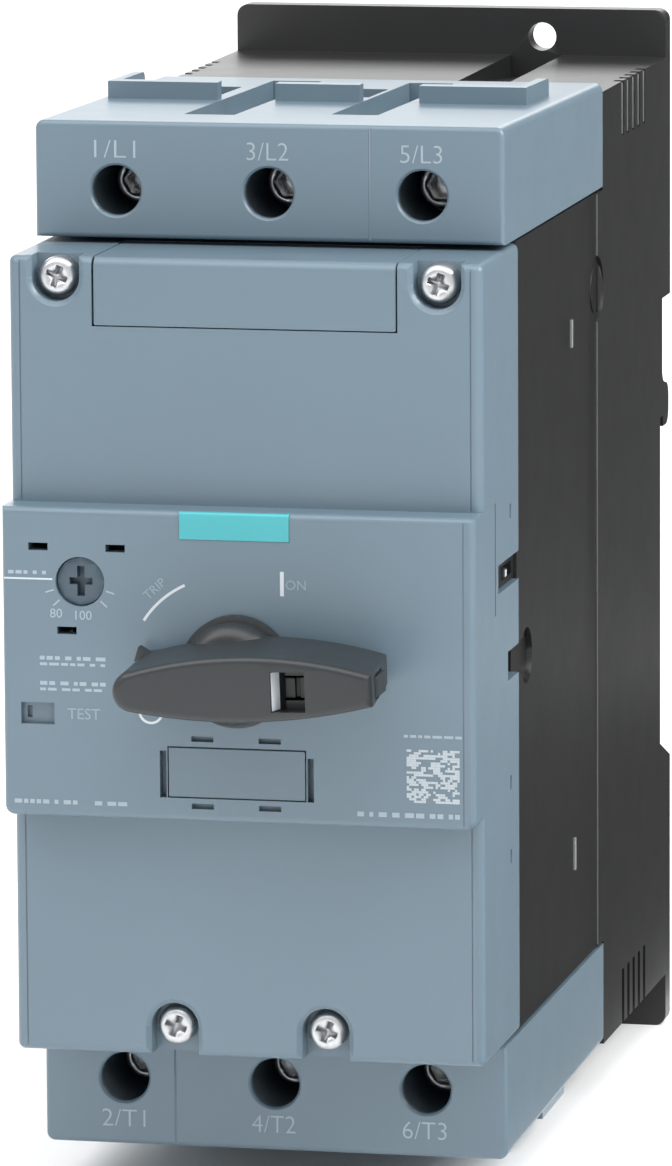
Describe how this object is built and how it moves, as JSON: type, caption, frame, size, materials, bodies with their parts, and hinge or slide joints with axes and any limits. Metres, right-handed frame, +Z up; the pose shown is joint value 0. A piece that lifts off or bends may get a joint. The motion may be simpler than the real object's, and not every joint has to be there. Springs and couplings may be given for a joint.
{
  "type": "motor protection breaker",
  "caption": "Tall box-shaped motor protection breaker with a front rotary handle, setting dial, box terminals at top and bottom, and a rail or screw mounting.",
  "frame": {"origin": "on the wall plane, at the middle of the rail seat, halfway across the width", "axes": "+X to the right, +Y into the wall, +Z up; the handle faces -Y"},
  "size_m": [0.07, 0.176, 0.165],
  "materials": {
    "black_housing": "fine-textured black thermoset",
    "cover_blue_grey": "fine-textured blue-grey plastic",
    "handle_grey": "satin dark grey plastic",
    "badge_teal": "smooth teal",
    "legend_clear": "smooth tinted label carrier",
    "dial_grey": "satin blue-grey plastic",
    "zinc_steel": "bright zinc plate",
    "terminal_steel": "zinc-plated steel",
    "frame_steel": "pressed steel",
    "copper": "plain copper strip",
    "coil_copper": "lacquered copper winding",
    "bimetal": "rolled bimetal",
    "spring_steel": "drawn spring wire",
    "insulation": "natural moulding compound",
    "latch_black": "satin black plastic"
  },
  "bodies": {
    "housing": {"rear_housing": "black_housing", "mid_housing": "black_housing", "front_cover": "cover_blue_grey", "upper_terminal_block": "cover_blue_grey", "lower_terminal_block": "cover_blue_grey", "accessory_flap": "cover_blue_grey", "badge_plate": "badge_teal", "legend_plate": "legend_clear", "cover_screws": "zinc_steel", "mechanism_frame": "frame_steel", "magnet_cores": "frame_steel", "bimetal_strips": "bimetal", "rail_latch_spring": "spring_steel", "line_bar_1": "copper", "load_bar_1": "copper", "load_terminal_bar_1": "copper", "arc_chute_1": "frame_steel", "trip_coil_1": "coil_copper", "line_bar_2": "copper", "load_bar_2": "copper", "load_terminal_bar_2": "copper", "arc_chute_2": "frame_steel", "trip_coil_2": "coil_copper", "line_bar_3": "copper", "load_bar_3": "copper", "load_terminal_bar_3": "copper", "arc_chute_3": "frame_steel", "trip_coil_3": "coil_copper"},
    "handle": {"rotary_handle": "handle_grey", "handle_shaft": "frame_steel", "drive_cam": "insulation"},
    "padlock_slide": {"padlock_slide": "latch_black"},
    "contact_carrier": {"contact_carrier": "insulation", "contact_springs": "spring_steel", "contact_bridge_1": "copper", "contact_bridge_2": "copper", "contact_bridge_3": "copper"},
    "setting_dial": {"setting_dial": "dial_grey"},
    "test_slide": {"test_slide": "dial_grey"},
    "trip_bar": {"trip_bar": "insulation"},
    "coupling_slider": {"coupling_slider": "insulation"},
    "rail_latch": {"rail_latch": "latch_black"},
    "line_screw_1": {"line_screw_1": "terminal_steel"},
    "line_clamp_1": {"line_clamp_1": "frame_steel"},
    "load_screw_1": {"load_screw_1": "terminal_steel"},
    "load_clamp_1": {"load_clamp_1": "frame_steel"},
    "trip_plunger_1": {"trip_plunger_1": "frame_steel"},
    "line_screw_2": {"line_screw_2": "terminal_steel"},
    "line_clamp_2": {"line_clamp_2": "frame_steel"},
    "load_screw_2": {"load_screw_2": "terminal_steel"},
    "load_clamp_2": {"load_clamp_2": "frame_steel"},
    "trip_plunger_2": {"trip_plunger_2": "frame_steel"},
    "line_screw_3": {"line_screw_3": "terminal_steel"},
    "line_clamp_3": {"line_clamp_3": "frame_steel"},
    "load_screw_3": {"load_screw_3": "terminal_steel"},
    "load_clamp_3": {"load_clamp_3": "frame_steel"},
    "trip_plunger_3": {"trip_plunger_3": "frame_steel"}
  },
  "joints": [
    {"name": "handle_turn", "type": "hinge", "parent": "housing", "child": "handle", "pos_m": [0, 0, 0.0007], "axis": [0, 1, 0], "range_deg": [0, 92]},
    {"name": "padlock_pull", "type": "slide", "parent": "handle", "child": "padlock_slide", "axis": [0.9994, 0, 0.0349], "range_m": [0, 0.009]},
    {"name": "contact_drive", "type": "slide", "parent": "housing", "child": "contact_carrier", "axis": [0, 1, 0], "range_m": [0, 0.0042]},
    {"name": "coupling_drive", "type": "slide", "parent": "housing", "child": "coupling_slider", "axis": [0, 1, 0], "range_m": [0, 0.0045]},
    {"name": "dial_turn", "type": "hinge", "parent": "housing", "child": "setting_dial", "pos_m": [-0.0233, 0, 0.013], "axis": [0, 1, 0], "range_deg": [-120, 120]},
    {"name": "test_push", "type": "slide", "parent": "housing", "child": "test_slide", "axis": [1, 0, 0], "range_m": [0, 0.002], "stiffness_N_per_m": 150},
    {"name": "trip_bar_turn", "type": "hinge", "parent": "housing", "child": "trip_bar", "pos_m": [0, -0.072, -0.006], "axis": [1, 0, 0], "range_deg": [0, 5]},
    {"name": "latch_pull", "type": "slide", "parent": "housing", "child": "rail_latch", "axis": [0, 0, -1], "range_m": [0, 0.005], "stiffness_N_per_m": 600, "deforming": ["rail_latch_spring"]},
    {"name": "line_screw_1_turn", "type": "hinge", "parent": "housing", "child": "line_screw_1", "pos_m": [-0.02285, -0.118, 0.0674], "axis": [0, 1, 0], "range_deg": [0, 2880]},
    {"name": "line_clamp_1_shift", "type": "slide", "parent": "housing", "child": "line_clamp_1", "axis": [0, -1, 0], "range_m": [0, 0.008]},
    {"name": "load_screw_1_turn", "type": "hinge", "parent": "housing", "child": "load_screw_1", "pos_m": [-0.02285, -0.118, -0.065], "axis": [0, 1, 0], "range_deg": [0, 2880]},
    {"name": "load_clamp_1_shift", "type": "slide", "parent": "housing", "child": "load_clamp_1", "axis": [0, -1, 0], "range_m": [0, 0.008]},
    {"name": "trip_plunger_1_stroke", "type": "slide", "parent": "housing", "child": "trip_plunger_1", "axis": [0, 1, 0], "range_m": [0, 0.002], "stiffness_N_per_m": 150},
    {"name": "line_screw_2_turn", "type": "hinge", "parent": "housing", "child": "line_screw_2", "pos_m": [0, -0.118, 0.0674], "axis": [0, 1, 0], "range_deg": [0, 2880]},
    {"name": "line_clamp_2_shift", "type": "slide", "parent": "housing", "child": "line_clamp_2", "axis": [0, -1, 0], "range_m": [0, 0.008]},
    {"name": "load_screw_2_turn", "type": "hinge", "parent": "housing", "child": "load_screw_2", "pos_m": [0, -0.118, -0.065], "axis": [0, 1, 0], "range_deg": [0, 2880]},
    {"name": "load_clamp_2_shift", "type": "slide", "parent": "housing", "child": "load_clamp_2", "axis": [0, -1, 0], "range_m": [0, 0.008]},
    {"name": "trip_plunger_2_stroke", "type": "slide", "parent": "housing", "child": "trip_plunger_2", "axis": [0, 1, 0], "range_m": [0, 0.002], "stiffness_N_per_m": 150},
    {"name": "line_screw_3_turn", "type": "hinge", "parent": "housing", "child": "line_screw_3", "pos_m": [0.02285, -0.118, 0.0674], "axis": [0, 1, 0], "range_deg": [0, 2880]},
    {"name": "line_clamp_3_shift", "type": "slide", "parent": "housing", "child": "line_clamp_3", "axis": [0, -1, 0], "range_m": [0, 0.008]},
    {"name": "load_screw_3_turn", "type": "hinge", "parent": "housing", "child": "load_screw_3", "pos_m": [0.02285, -0.118, -0.065], "axis": [0, 1, 0], "range_deg": [0, 2880]},
    {"name": "load_clamp_3_shift", "type": "slide", "parent": "housing", "child": "load_clamp_3", "axis": [0, -1, 0], "range_m": [0, 0.008]},
    {"name": "trip_plunger_3_stroke", "type": "slide", "parent": "housing", "child": "trip_plunger_3", "axis": [0, 1, 0], "range_m": [0, 0.002], "stiffness_N_per_m": 150}
  ],
  "couplings": [
    {"joint": "handle_turn", "follows": "contact_drive", "rad_per_m": 382.3},
    {"joint": "coupling_drive", "follows": "contact_drive", "ratio": 1.0714},
    {"joint": "trip_bar_turn", "follows": "test_push", "rad_per_m": 43},
    {"joint": "line_screw_1_turn", "follows": "line_clamp_1_shift", "rad_per_m": 6283},
    {"joint": "load_screw_1_turn", "follows": "load_clamp_1_shift", "rad_per_m": 6283},
    {"joint": "line_screw_2_turn", "follows": "line_clamp_2_shift", "rad_per_m": 6283},
    {"joint": "load_screw_2_turn", "follows": "load_clamp_2_shift", "rad_per_m": 6283},
    {"joint": "line_screw_3_turn", "follows": "line_clamp_3_shift", "rad_per_m": 6283},
    {"joint": "load_screw_3_turn", "follows": "load_clamp_3_shift", "rad_per_m": 6283}
  ]
}
